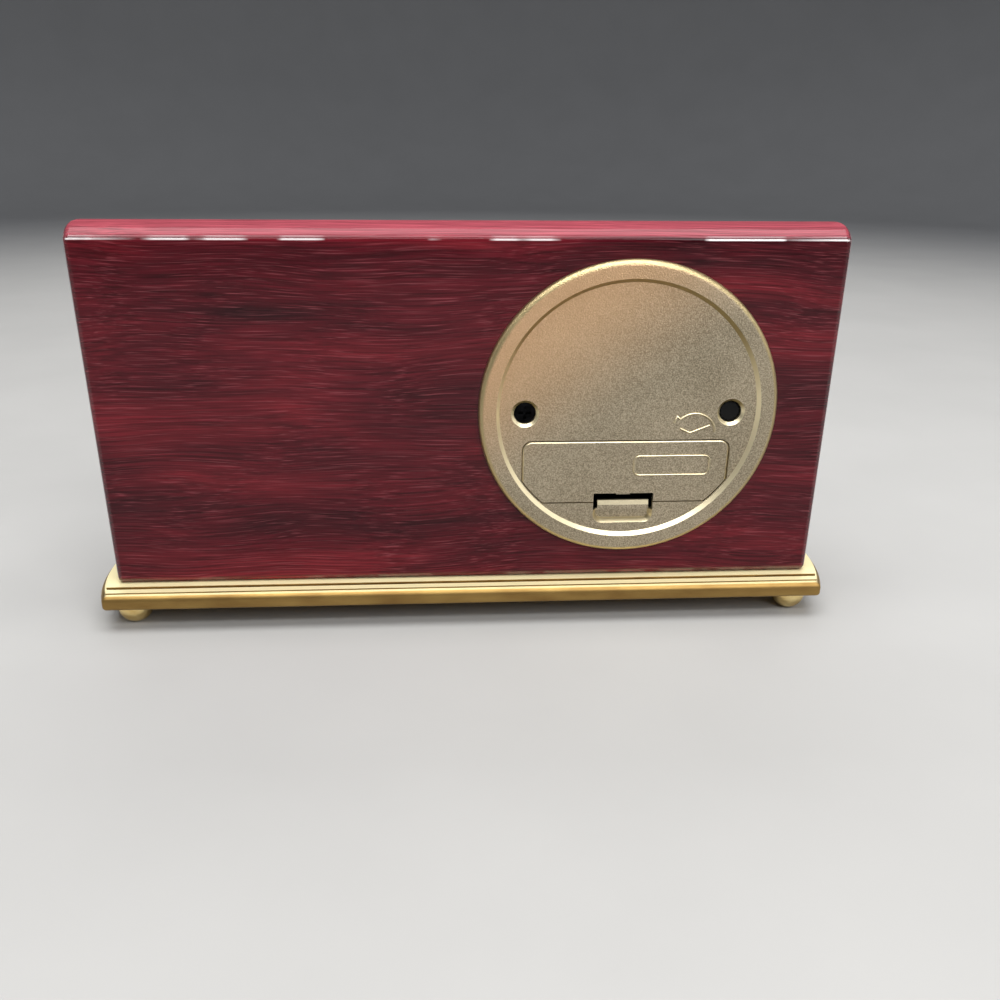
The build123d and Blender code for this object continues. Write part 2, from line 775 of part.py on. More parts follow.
# Hour wheel with the tube that carries the hour hand
with BuildPart() as hour_wheel:
    phase = mesh_phase(0, minute_pinion_teeth, hour_teeth, minute_spot, centre_spot)
    with BuildSketch(facing(hour_back)):
        add(toothed(hour_teeth, setting_module, phase))
    extrude(amount=wheel_thick)
    rod(hour_hand_back - hand_thick - tube_stand, hour_back, hour_tube_radius)
    rod(
        hour_hand_back - hand_thick - tube_stand - overrun,
        hour_back + overrun,
        minute_tube_radius + running_fit,
        mode=Mode.SUBTRACT,
    )

# Two idlers from the minute wheel to the setting knob
first_phase = mesh_phase(minute_phase, minute_teeth, idler_teeth, minute_spot, first_idler_spot)
second_phase = mesh_phase(first_phase, idler_teeth, idler_teeth, first_idler_spot, second_idler_spot)
idler_phases = (first_phase, second_phase)
idlers = {}
for name, phase, spot in zip(("first_idler", "second_idler"), idler_phases, idler_spots):
    with BuildPart() as idler:
        with BuildSketch(facing(setting_back, spot)):
            add(toothed(idler_teeth, setting_module, phase))
            Circle(stud_radius + running_fit, mode=Mode.SUBTRACT)
        extrude(amount=wheel_thick)
    idlers[name] = idler

# Setting knob: its gear and pivot, a stem through the bridge and a fluted head in the cap's hole
knob_back = floor_y - knob_recess
with BuildPart() as setting_knob:
    phase = mesh_phase(second_phase, idler_teeth, idler_teeth, second_idler_spot, knob_spot)
    with BuildSketch(facing(setting_back, knob_spot)):
        add(toothed(idler_teeth, setting_module, phase))
    extrude(amount=wheel_thick)
    rod(wall_back + rest_gap, setting_front, knob_pivot_radius, knob_spot)
    rod(setting_back, knob_back, knob_stem_radius, knob_spot)
    with BuildSketch(facing(knob_back, knob_spot)):
        Circle(knob_radius)
        with PolarLocations(knob_radius, knob_flutes):
            Circle(knob_flute_radius, mode=Mode.SUBTRACT)
    extrude(amount=knob_height)

# Rear cap: flange, sloped recess and web, with a spigot in the bore
with BuildPart() as rear_cap:
    with BuildSketch(section):
        with BuildLine():
            Polyline(
                (0, web_inner),
                (barrel_radius - cap_spigot_wall, web_inner),
                (barrel_radius - cap_spigot_wall, case_back),
                (barrel_radius, case_back),
                (barrel_radius, back_y),
                (flange_radius, back_y),
                (flange_radius, cap_face),
                (recess_radius, cap_face),
                (recess_floor_radius, floor_y),
                (0, floor_y),
                close=True,
            )
        profile = make_face()
        fillet(profile.vertices().group_by(Axis.Y)[-1].sort_by(Axis.X)[-1], cap_round)
    revolve(axis=clock_axis)
    rod(case_back, web_inner, control_hole_radius + cap_boss_wall, cap_screw_spot)
    # tray behind the finger scoop
    with BuildSketch(facing(web_inner)):
        with Locations((0, scoop_bottom - scoop_floor)):
            Rectangle(
                latch_slot_width + 2 * scoop_floor,
                scoop_top - scoop_bottom + scoop_floor,
                align=(Align.CENTER, Align.MIN),
            )
        Circle(barrel_radius - cap_spigot_wall / 2, mode=Mode.INTERSECT)
    extrude(amount=scoop_floor)
    # holes for the knob and the screw
    for spot in (knob_spot, cap_screw_spot):
        rod(web_inner - overrun, floor_y + overrun, control_hole_radius, spot, Mode.SUBTRACT)
        with Locations(facing(floor_y, spot)):
            Cone(
                control_hole_radius + control_countersink,
                control_hole_radius,
                control_countersink,
                align=(Align.CENTER, Align.CENTER, Align.MIN),
                mode=Mode.SUBTRACT,
            )
    rod(case_back + cap_boss_floor, web_inner, control_hole_radius, cap_screw_spot, Mode.SUBTRACT)
    rod(case_back - overrun, web_inner, cap_screw_radius + press_gap, cap_screw_spot, Mode.SUBTRACT)
    # door opening, with a ledge behind the door and a gap in it for the hooks and the latch
    with BuildSketch(facing(floor_y + overrun)):
        add(door_outline(cover_gap))
    extrude(amount=door_thick + rest_gap + overrun, mode=Mode.SUBTRACT)
    with BuildSketch(facing(floor_y)):
        add(door_outline(-door_ledge))
        with Locations(*[(side * hook_offset, door_top + cover_gap) for side in (-1, 1)]):
            Rectangle(hook_width + 2 * cover_gap, hook_root + door_ledge, align=(Align.CENTER, Align.MAX))
        with Locations((0, scoop_top)):
            Rectangle(latch_slot_width, slot_top - scoop_top, align=(Align.CENTER, Align.MIN))
    extrude(amount=cap_web + scoop_floor + overrun, mode=Mode.SUBTRACT)
    # finger scoop with a sloped lower wall
    with BuildSketch(facing(floor_y)):
        with Locations((0, scoop_bottom)):
            scoop = Rectangle(latch_slot_width, door_bottom - scoop_bottom, align=(Align.CENTER, Align.MIN))
        fillet(scoop.vertices().group_by(Axis.Y)[0], scoop_corner)
    extrude(amount=cap_web, taper=scoop_taper, mode=Mode.SUBTRACT)

# Black cap screw with a cross slot
with BuildPart() as cap_screw:
    head_front = case_back + cap_boss_floor
    head_back = head_front + cap_screw_head_height
    rod(head_front, head_back, cap_screw_head_radius, cap_screw_spot)
    rod(cap_screw_tip, head_front, cap_screw_radius, cap_screw_spot)
    with Locations(facing(head_back, cap_screw_spot)):
        for long_side, short_side in ((1, 0), (0, 1)):
            Box(
                cap_screw_head_radius * long_side + cap_screw_slot_width,
                cap_screw_head_radius * short_side + cap_screw_slot_width,
                cap_screw_slot_depth,
                align=(Align.CENTER, Align.CENTER, Align.MIN),
                mode=Mode.SUBTRACT,
            )

# Battery door with its hooks and its spring latch
with BuildPart() as battery_door:
    with BuildSketch(facing(floor_y)):
        add(door_outline())
        with Locations((0, door_bottom)):
            Rectangle(latch_slot_width, 2 * latch_slot_height, mode=Mode.SUBTRACT)
    extrude(amount=door_thick)
    fillet(battery_door.edges().filter_by(Axis.X).group_by(Axis.Z)[-1], door_round)
    with Locations(facing(floor_y - door_thick / 2, (0, slot_top))):
        Box(
            latch_tab_width,
            2 * latch_tab_height,
            door_thick / 2,
            align=(Align.CENTER, Align.CENTER, Align.MIN),
        )
    hook_back = web_inner - cover_gap
    hook_rise = floor_y - door_thick - hook_back
    for side in (-1, 1):
        with Locations(facing(floor_y - door_thick, (side * hook_offset, door_top))):
            Box(hook_width, hook_root, hook_rise, align=(Align.CENTER, Align.MAX, Align.MIN))
        with Locations(facing(hook_back, (side * hook_offset, door_top - hook_root))):
            Box(hook_width, hook_root + hook_reach, hook_thick, align=(Align.CENTER, Align.MIN, Align.MIN))
    # spring latch: a U that hangs from the inside of the door and ends in a lip for the finger
    with BuildSketch(Plane((clock_x, floor_y, clock_z), x_dir=(0, 1, 0), z_dir=(1, 0, 0))):
        bend_y = latch_bend + latch_wall / 2 - latch_depth
        upper_z = slot_top + latch_wall / 2
        lower_z = lip_top - latch_wall / 2
        with BuildLine():
            upper_leg = Line((-door_thick / 2, upper_z), (bend_y, upper_z))
            bend = ThreePointArc(
                upper_leg @ 1,
                (bend_y - latch_bend, (upper_z + lower_z) / 2),
                (bend_y, lower_z),
            )
            Line(bend @ 1, (-latch_lip_thick / 2, lower_z))
        trace(line_width=latch_wall)
        with BuildLine():
            Polyline(
                (0, lip_bottom),
                (0, lip_top - latch_lip_slope),
                (-latch_lip_thick / 2, lip_top),
                (-latch_lip_thick, lip_top),
                (-latch_lip_thick, lip_bottom),
                close=True,
            )
        make_face()
    extrude(amount=latch_width / 2, both=True)

# Battery cell with its raised contact
cell_end = cell_length / 2
with BuildPart() as battery_cell:
    with Locations(Location((clock_x + cell_nub_height / 2, cell_y, clock_z - cell_drop), (0, 90, 0))):
        Cylinder(cell_radius, cell_length - cell_nub_height)
    fillet(battery_cell.edges().filter_by(GeomType.CIRCLE), cell_edge)
    with Locations(Location((clock_x - cell_end, cell_y, clock_z - cell_drop), (0, 90, 0))):
        Cylinder(cell_nub_radius, cell_nub_height, align=(Align.CENTER, Align.CENTER, Align.MIN))

# Battery contacts: each a sheet on the end rib, with a boss or a bent leaf that reaches the cell
sheet_x = cell_end + contact_room - contact_thick / 2
sheet_back = cell_y + contact_height / 2
leaf_x = cell_end + rest_gap + contact_thick / 2
with BuildPart() as positive_contact:
    with Locations(facing(sheet_back, (-sheet_x, -cell_drop))):
        Box(
            contact_thick,
            contact_height,
            sheet_back - wall_back,
            align=(Align.CENTER, Align.CENTER, Align.MIN),
        )
    with Locations(Location((clock_x - sheet_x, cell_y, clock_z - cell_drop), (0, 90, 0))):
        Cylinder(
            cell_nub_radius * contact_boss_share,
            sheet_x - cell_end - rest_gap,
            align=(Align.CENTER, Align.CENTER, Align.MIN),
        )

with BuildPart() as negative_contact:
    with Locations(facing(sheet_back, (sheet_x, -cell_drop))):
        Box(
            contact_thick,
            contact_height,
            sheet_back - wall_back,
            align=(Align.CENTER, Align.CENTER, Align.MIN),
        )
    with BuildSketch(Plane.XY.offset(clock_z - cell_drop)):
        with BuildLine():
            Polyline(
                (clock_x + sheet_x, sheet_back - contact_thick),
                (clock_x + leaf_x, cell_y),
                (clock_x + sheet_x, 2 * cell_y - sheet_back + contact_thick),
            )
        trace(line_width=contact_thick)
    extrude(amount=contact_height * contact_leaf_share, both=True)

# Circuit board behind the bridge, with its chip and its crystal
with BuildPart() as circuit_board:
    with BuildSketch(facing(board_back, third_spot)):
        Rectangle(board_width, board_height)
    extrude(amount=board_thick)

with BuildPart() as control_chip:
    rod(board_back, board_back + chip_height, chip_radius, (third_spot[0], third_spot[1] + chip_offset))
    fillet(control_chip.edges().sort_by(Axis.Y)[-1], chip_height * chip_round_share)

with BuildPart() as quartz_crystal:
    crystal_spot = (clock_x + third_spot[0], clock_z + third_spot[1] - chip_offset)
    with Locations(Location((crystal_spot[0], board_back + crystal_radius, crystal_spot[1]), (0, 90, 0))):
        Cylinder(crystal_radius, crystal_length)

# Hands
with BuildPart() as hour_hand:
    with BuildSketch(facing(hour_hand_back, turn=hour_hand_angle)):
        hub = hour_tube_radius + hub_wall
        add(hand_outline(hour_hand_length, hour_hand_width, hub, hour_tube_radius + press_gap))
    extrude(amount=hand_thick)

with BuildPart() as minute_hand:
    with BuildSketch(facing(minute_hand_back, turn=minute_hand_angle)):
        hub = minute_tube_radius + hub_wall
        add(hand_outline(minute_hand_length, minute_hand_width, hub, minute_tube_radius + press_gap))
    extrude(amount=hand_thick)

with BuildPart() as second_hand:
    with BuildSketch(facing(second_hand_back, turn=second_hand_angle)):
        hub = second_arbor_radius + hub_wall
        bore = second_arbor_radius + press_gap
        add(hand_outline(second_hand_length, second_hand_width, hub, bore, second_hand_tail))
    extrude(amount=hand_thick)

pieces = {
    "wood_block": wood_block,
    "base_moulding": base_moulding,
    "base_screws": base_screws,
    **feet,
    "front_bezel": front_bezel,
    "lens": lens,
    "dial_ring": dial_ring,
    "dial": dial,
    "movement_case": movement_case,
    "train_bridge": train_bridge,
    "bridge_screws": bridge_screws,
    "stator": stator,
    "coil_core": coil_core,
    "coil_bobbin": coil_bobbin,
    "coil_winding": coil_winding,
    "rotor_magnet": rotor_magnet,
    "rotor_pinion": rotor_pinion,
    "intermediate_wheel": intermediate_wheel,
    "second_wheel": second_wheel,
    "third_wheel": third_wheel,
    "centre_wheel": centre_wheel,
    "cannon_pinion": cannon_pinion,
    "minute_wheel": minute_wheel,
    "hour_wheel": hour_wheel,
    **idlers,
    "setting_knob": setting_knob,
    "rear_cap": rear_cap,
    "cap_screw": cap_screw,
    "battery_door": battery_door,
    "battery_cell": battery_cell,
    "positive_contact": positive_contact,
    "negative_contact": negative_contact,
    "circuit_board": circuit_board,
    "control_chip": control_chip,
    "quartz_crystal": quartz_crystal,
    "hour_hand": hour_hand,
    "minute_hand": minute_hand,
    "second_hand": second_hand,
}

os.makedirs("parts", exist_ok=True)
for name, piece in pieces.items():
    piece.part.label = name
    export_step(piece.part, f"parts/{name}.step")
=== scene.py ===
import math

import bpy
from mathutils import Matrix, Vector


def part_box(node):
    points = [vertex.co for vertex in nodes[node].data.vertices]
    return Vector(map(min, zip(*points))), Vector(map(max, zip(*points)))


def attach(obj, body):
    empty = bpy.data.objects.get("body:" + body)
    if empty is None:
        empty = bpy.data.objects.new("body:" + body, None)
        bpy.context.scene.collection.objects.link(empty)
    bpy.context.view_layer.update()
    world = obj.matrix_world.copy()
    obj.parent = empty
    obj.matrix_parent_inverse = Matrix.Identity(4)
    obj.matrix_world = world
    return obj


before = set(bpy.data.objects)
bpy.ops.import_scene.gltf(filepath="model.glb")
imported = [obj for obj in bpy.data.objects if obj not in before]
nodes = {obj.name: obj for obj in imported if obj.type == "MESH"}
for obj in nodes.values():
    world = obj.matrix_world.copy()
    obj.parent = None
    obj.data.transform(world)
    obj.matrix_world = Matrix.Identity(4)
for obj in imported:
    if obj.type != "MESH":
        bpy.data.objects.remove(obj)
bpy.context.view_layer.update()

# Places that the clock's own pieces give: the middle of the cap, the cap's floor and the dial's face
capLow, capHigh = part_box("rear_cap")
clockX = (capLow.x + capHigh.x) / 2
clockZ = (capLow.z + capHigh.z) / 2
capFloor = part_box("battery_door")[1].y
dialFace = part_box("dial")[0].y
mm = 0.001
upright = (math.radians(90), 0, 0)
print("frame loaded:", len(nodes), "nodes")


def linear(hexCode):
    parts = [int(hexCode[i:i + 2], 16) / 255 for i in (1, 3, 5)]
    return [p / 12.92 if p <= 0.04045 else ((p + 0.055) / 1.055) ** 2.4 for p in parts] + [1.0]


def addNode(tree, kind, inputs=None, stops=None, **settings):
    # sockets among the inputs are linked, plain values are set
    node = tree.nodes.new("ShaderNode" + kind)
    for name, value in settings.items():
        setattr(node, name, value)
    for key, value in (inputs or {}).items():
        if isinstance(value, bpy.types.NodeSocket):
            tree.links.new(value, node.inputs[key])
        else:
            node.inputs[key].default_value = value
    for number, (place, hexCode) in enumerate(stops or []):
        ramp = node.color_ramp.elements
        stop = ramp[number] if number < 2 else ramp.new(place)
        stop.position = place
        stop.color = linear(hexCode)
    return node


def noise(tree, coords, sizeMm, detail, **more):
    # a soft random pattern with steps of so many millimetres each way
    steps = [1 / (size * mm) for size in sizeMm]
    scaled = addNode(tree, "VectorMath", {0: coords, 1: steps}, operation="MULTIPLY").outputs[0]
    return addNode(tree, "TexNoise", {"Vector": scaled, "Scale": 1.0, "Detail": detail, **more}).outputs


def between(tree, value, start, end, low=0.0, high=1.0, **settings):
    # low where the value is at the start or before it, high at the end or past it
    inputs = {"Value": value, "From Min": start, "From Max": end, "To Min": low, "To Max": high}
    return addNode(tree, "MapRange", inputs, **settings).outputs[0]


def blend(tree, share, first, second, **settings):
    return addNode(tree, "Mix", {0: share, 6: first, 7: second}, data_type="RGBA", **settings).outputs[2]


def calc(tree, operation, first, second=0.0):
    return addNode(tree, "Math", {0: first, 1: second}, operation=operation).outputs[0]


def tones(tree, value, stops):
    return addNode(tree, "ValToRGB", {"Fac": value}, stops).outputs[0]


def newMaterial(name):
    # the material with its tree, its shader and the object's coordinates
    material = bpy.data.materials.new(name)
    material.use_nodes = True
    tree = material.node_tree
    return material, tree, tree.nodes["Principled BSDF"], addNode(tree, "TexCoord").outputs["Object"]


def normalParts(tree):
    # how far a surface faces along each of the object's axes
    normal = addNode(tree, "TexCoord").outputs["Normal"]
    return addNode(tree, "SeparateXYZ", {0: normal}).outputs


def setShader(tree, shader, links, values):
    for name, socket in links.items():
        tree.links.new(socket, shader.inputs[name])
    for name, value in values.items():
        shader.inputs[name].default_value = value


def dress(names, material):
    for name in names:
        for slot in nodes[name].material_slots:
            slot.material = material


# Mahogany veneer, stained, then sprayed with lacquer and buffed: deep red with long fine fibres and
# a cloudy figure along the grain; the edges keep a rippled gloss, the large faces and the top have dulled
# painted light on the block: the top is painted lighter, and a pale painted highlight runs along the top edge and
# down the corners
woodLook = {
    "figureMm": (95, 17, 15), "fibreMm": (42, 0.55, 0.55), "poreMm": (15, 0.3, 0.3), "waverMm": (70, 40, 36),
    "bendM": (0, 0.006, 0.010), "rippleMm": (9, 6, 6), "dashMm": (13, 60, 60), "endM": (0.082, 0.099),
    "stain": [(0.30, "#3b1018"), (0.50, "#641722"), (0.72, "#8d2630")],
    "fibre": [(0.32, "#5c5c5c"), (0.68, "#acacac")], "fibreShare": 0.9,
    "pore": "#b05a62", "poreFrom": (0.56, 0.76), "poreShare": 0.32,
    "paintedTopLight": "#c45c69", "paintedTopLightShare": 0.75, "paintedEdgeHighlight": "#efe4e4", "topHighlightShare": 0.85, "cornerHighlightShare": 0.4,
    "rippleHighMm": 0.2, "rippleStrength": 0.25, "dashFrom": (0.46, 0.54),
    "coatWeight": (0.3, 1.0), "flatCoat": 0.4, "topCoat": 0.2, "coatRoughness": 0.04, "coatIor": 1.55,
    "roughness": 0.5,
}
# Where on the block each of these lies, by the part of the normal that points up, back or to an end
woodBands = {
    "paintedTopLightFacing": (0.5, 0.95), "hazyTop": (0.84, 0.9), "flatFace": (0.985, 0.999), "lipRise": (0.14, 0.24),
    "lipFall": (0.46, 0.36), "longEdge": (0.5, 0.3), "cornerRise": (0.66, 0.78), "cornerFall": (0.92, 0.82),
}
lacqueredWood, tree, shader, place = newMaterial("mahogany_veneer_lacquered")
facing = normalParts(tree)
waver = noise(tree, place, woodLook["waverMm"], 1.0)["Color"]
bent = addNode(tree, "VectorMath", {0: waver, 1: woodLook["bendM"], 2: place}, operation="MULTIPLY_ADD").outputs[0]
figure = noise(tree, bent, woodLook["figureMm"], 4.0, Distortion=0.6)[0]
fibre = noise(tree, bent, woodLook["fibreMm"], 3.0, Roughness=0.6)[0]
pore = noise(tree, bent, woodLook["poreMm"], 2.0)[0]
stain = tones(tree, figure, woodLook["stain"])
# painted light: the top is painted a lighter rose, as if lit from above
upward = between(tree, facing["Z"], *woodBands["paintedTopLightFacing"], high=woodLook["paintedTopLightShare"])
paintedTopLight = blend(tree, upward, stain, linear(woodLook["paintedTopLight"]))
streaked = blend(tree, woodLook["fibreShare"], paintedTopLight, tones(tree, fibre, woodLook["fibre"]), blend_type="OVERLAY")
poreMask = between(tree, pore, *woodLook["poreFrom"], high=woodLook["poreShare"])
flecked = blend(tree, poreMask, streaked, linear(woodLook["pore"]))
ripple = noise(tree, place, woodLook["rippleMm"], 1.0)[0]
gloss = addNode(tree, "Bump", {"Height": ripple, "Strength": woodLook["rippleStrength"],
                               "Distance": woodLook["rippleHighMm"] * mm}).outputs[0]
# the buffing has left the edges glossier in dashes, more so towards the ends; the same dashes break the painted
# highlight along the top
dashed = between(tree, noise(tree, place, woodLook["dashMm"], 2.0)[0], *woodLook["dashFrom"])
spot = addNode(tree, "SeparateXYZ", {0: place}).outputs
nearEnd = between(tree, calc(tree, "ABSOLUTE", spot["X"]), *woodLook["endM"])
bright = calc(tree, "MAXIMUM", dashed, nearEnd)
edgeCoat = between(tree, bright, 0.0, 1.0, *woodLook["coatWeight"])
dulled = between(tree, calc(tree, "ABSOLUTE", facing["Y"]), *woodBands["flatFace"], edgeCoat, woodLook["flatCoat"])
hazy = between(tree, facing["Z"], *woodBands["hazyTop"], dulled, woodLook["topCoat"])
# a painted highlight: a pale line along the top, broken in dashes, and whole down the corners
lip = calc(tree, "MULTIPLY", between(tree, facing["Z"], *woodBands["lipRise"]),
           between(tree, facing["Z"], *woodBands["lipFall"]))
across = calc(tree, "ABSOLUTE", facing["X"])
longEdge = between(tree, across, *woodBands["longEdge"], high=woodLook["topHighlightShare"])
topLine = calc(tree, "MULTIPLY", calc(tree, "MULTIPLY", lip, bright), longEdge)
corner = calc(tree, "MULTIPLY", between(tree, across, *woodBands["cornerRise"]),
              between(tree, across, *woodBands["cornerFall"], high=woodLook["cornerHighlightShare"]))
paintedEdgeHighlight = blend(tree, calc(tree, "MAXIMUM", topLine, corner), flecked, linear(woodLook["paintedEdgeHighlight"]))
setShader(tree, shader, {"Base Color": paintedEdgeHighlight, "Coat Normal": gloss, "Coat Weight": hazy},
          {"Roughness": woodLook["roughness"], "Specular IOR Level": 0.0,
           "Coat Roughness": woodLook["coatRoughness"], "Coat IOR": woodLook["coatIor"]})
dress(["wood_block"], lacqueredWood)

# Brass, drawn or turned, polished and lacquered, satin: painted pale where it faces up, as if lit from above,
# browner on its sides, with fine tool lines along its length
brassLooks = {
    "brass_drawn_lacquered_toned": {
        "nodes": ["base_moulding"], "lineMm": (40, 0.3, 0.3), "patchMm": (16, 9, 6), "deep": "#87693a",
        "mid": "#a5874e", "pale": "#fbeebb", "roughness": (0.36, 0.5), "metal": 0.9, "brassPaintedLightMetal": 0.35,
    },
    "brass_turned_lacquered": {
        "nodes": [name for name in nodes if name.startswith("foot_")], "lineMm": (3, 3, 0.3), "patchMm": (5, 5, 3),
        "deep": "#dcbc78", "mid": "#f4dea3", "pale": "#f8eac0", "roughness": (0.12, 0.26), "metal": 1.0,
    },
    "brass_turned_polished": {
        "nodes": ["front_bezel"], "lineMm": (3, 0.3, 3), "patchMm": (14, 9, 9),
        "deep": "#cfae62", "mid": "#dcbf78", "pale": "#efdca0", "roughness": (0.16, 0.28), "metal": 1.0,
    },
}
brassLines = {"brassPaintedLightFrom": (0.8, 0.98), "tonesAt": (0.32, 0.68), "sheenFrom": (0.25, 0.75),
              "strength": 0.12, "highMm": 0.04}
for name, look in brassLooks.items():
    brass, tree, shader, place = newMaterial(name)
    lines = noise(tree, place, look["lineMm"], 2.0)[0]
    patches = noise(tree, place, look["patchMm"], 3.0)[0]
    # painted light: faces that point up take the pale tone
    brassPaintedLight = between(tree, normalParts(tree)["Z"], *brassLines["brassPaintedLightFrom"])
    toned = tones(tree, patches, zip(brassLines["tonesAt"], (look["deep"], look["mid"])))
    tint = blend(tree, brassPaintedLight, toned, linear(look["pale"]))
    sheen = between(tree, lines, *brassLines["sheenFrom"], *look["roughness"])
    relief = addNode(tree, "Bump", {"Height": lines, "Strength": brassLines["strength"],
                                    "Distance": brassLines["highMm"] * mm}).outputs[0]
    setShader(tree, shader, {"Base Color": tint, "Roughness": sheen, "Normal": relief}, {"Metallic": look["metal"]})
    if "brassPaintedLightMetal" in look:
        # the painted light top is also made less metallic, so that its pale tone shows more
        shine = between(tree, brassPaintedLight, 0.0, 1.0, look["metal"], look["brassPaintedLightMetal"])
        setShader(tree, shader, {"Metallic": shine}, {})
    dress(look["nodes"], brass)

# ABS moulded in a spark-eroded tool and plated satin gold on the outside: flat faces sparkle with a fine grain,
# slopes and edges are smooth and bright, a painted warm light lies towards the upper left, slopes that face
# down get a painted shade, and deeper inside it is painted near black, partly as shade and partly as bare plastic
platedLook = {
    "grainMm": (0.38, 0.38, 0.38), "patchMm": (26, 26, 26), "grainShare": 0.72,
    "tones": [(0.33, "#8e836d"), (0.67, "#cec0a7")], "paintedWarmLight": "#f2c190", "paintedWarmLightShare": 0.65,
    "paintedWarmLightToward": (0.6, 0.0, 0.8), "paintedWarmLightMm": 36.9, "edge": "#ebdeba", "under": "#988760", "rim": "#bdab80",
    "rimMm": (38.4, 39.2), "inside": "#0b0a09", "paintedInsideShadeMm": 0.4, "flatFrom": (0.93, 0.995), "underFrom": (-0.1, -0.45),
    "roughness": (0.4, 0.46), "strength": 0.8, "highMm": 0.16,
}
platedPieces = {"abs_moulded_satin_gold_cap": ("rear_cap", 2.1), "abs_moulded_satin_gold_door": ("battery_door", 1.1)}
clockAxis = Vector((clockX, 0, clockZ))
paintedWarmLightFrom = clockAxis.dot(platedLook["paintedWarmLightToward"])
plated = {}
for name, (node, shadeStartMm) in platedPieces.items():
    plated[node], tree, shader, place = newMaterial(name)
    facing = normalParts(tree)
    grain = noise(tree, place, platedLook["grainMm"], 1.0)[0]
    patches = noise(tree, place, platedLook["patchMm"], 2.0)[0]
    flat = between(tree, calc(tree, "ABSOLUTE", facing["Y"]), *platedLook["flatFrom"])
    mottled = addNode(tree, "Mix", {0: platedLook["grainShare"], 2: patches, 3: grain}).outputs[0]
    tint = tones(tree, mottled, platedLook["tones"])
    # painted warm light towards the upper left, seen from behind
    cast = addNode(tree, "VectorMath", {0: place, 1: platedLook["paintedWarmLightToward"]}, operation="DOT_PRODUCT")
    paintedWarmLightMask = between(tree, cast.outputs["Value"], paintedWarmLightFrom, paintedWarmLightFrom + platedLook["paintedWarmLightMm"] * mm,
                     high=platedLook["paintedWarmLightShare"], interpolation_type="SMOOTHSTEP")
    paintedWarmLit = blend(tree, paintedWarmLightMask, tint, linear(platedLook["paintedWarmLight"]))
    # slopes that face down get a painted shade, and the rim is grained as the flats are
    shaded = between(tree, facing["Z"], *platedLook["underFrom"])
    slope = blend(tree, shaded, linear(platedLook["edge"]), linear(platedLook["under"]))
    fromAxis = addNode(tree, "VectorMath", {0: place, 1: clockAxis}, operation="SUBTRACT").outputs[0]
    inPlane = addNode(tree, "VectorMath", {0: fromAxis, 1: (1, 0, 1)}, operation="MULTIPLY").outputs[0]
    radius = addNode(tree, "VectorMath", {0: inPlane}, operation="LENGTH").outputs["Value"]
    rim = between(tree, radius, *[size * mm for size in platedLook["rimMm"]])
    edge = blend(tree, rim, slope, linear(platedLook["rim"]))
    outside = blend(tree, flat, edge, paintedWarmLit)
    # painted shade, partly also bare unplated plastic: deeper below the cap's floor the colour turns near black
    depth = addNode(tree, "SeparateXYZ", {0: place}).outputs["Y"]
    paintedInsideShade = between(tree, depth, capFloor - shadeStartMm * mm, capFloor - (shadeStartMm + platedLook["paintedInsideShadeMm"]) * mm)
    tone = blend(tree, paintedInsideShade, outside, linear(platedLook["inside"]))
    sheen = between(tree, flat, 0.0, 1.0, *platedLook["roughness"])
    height = calc(tree, "MULTIPLY", calc(tree, "MAXIMUM", flat, rim), grain)
    relief = addNode(tree, "Bump", {"Height": height, "Strength": platedLook["strength"],
                                    "Distance": platedLook["highMm"] * mm}).outputs[0]
    setShader(tree, shader, {"Base Color": tone, "Roughness": sheen, "Normal": relief}, {"Metallic": 1.0})
    dress([node], plated[node])

# Mineral glass, ground flat and polished: clear with a trace of green, and unevenly wiped
lensLook = {"wipeMm": (12, 12, 12), "tint": "#f4faf6", "smear": 0.02, "ior": 1.52}
lensGlass, tree, shader, place = newMaterial("mineral_glass_polished")
smear = between(tree, noise(tree, place, lensLook["wipeMm"], 2.0)[0], 0.0, 1.0, high=lensLook["smear"])
setShader(tree, shader, {"Roughness": smear},
          {"Base Color": linear(lensLook["tint"]), "IOR": lensLook["ior"], "Transmission Weight": 1.0})
# light passes the pane, so that the dial isn't in its shadow
passing = addNode(tree, "BsdfTransparent")
lightPath = addNode(tree, "LightPath")
pane = addNode(tree, "MixShader", {0: lightPath.outputs["Is Shadow Ray"], 1: shader.outputs[0],
                                   2: passing.outputs[0]})
tree.links.new(pane.outputs[0], tree.nodes["Material Output"].inputs["Surface"])
dress(["lens"], lensGlass)

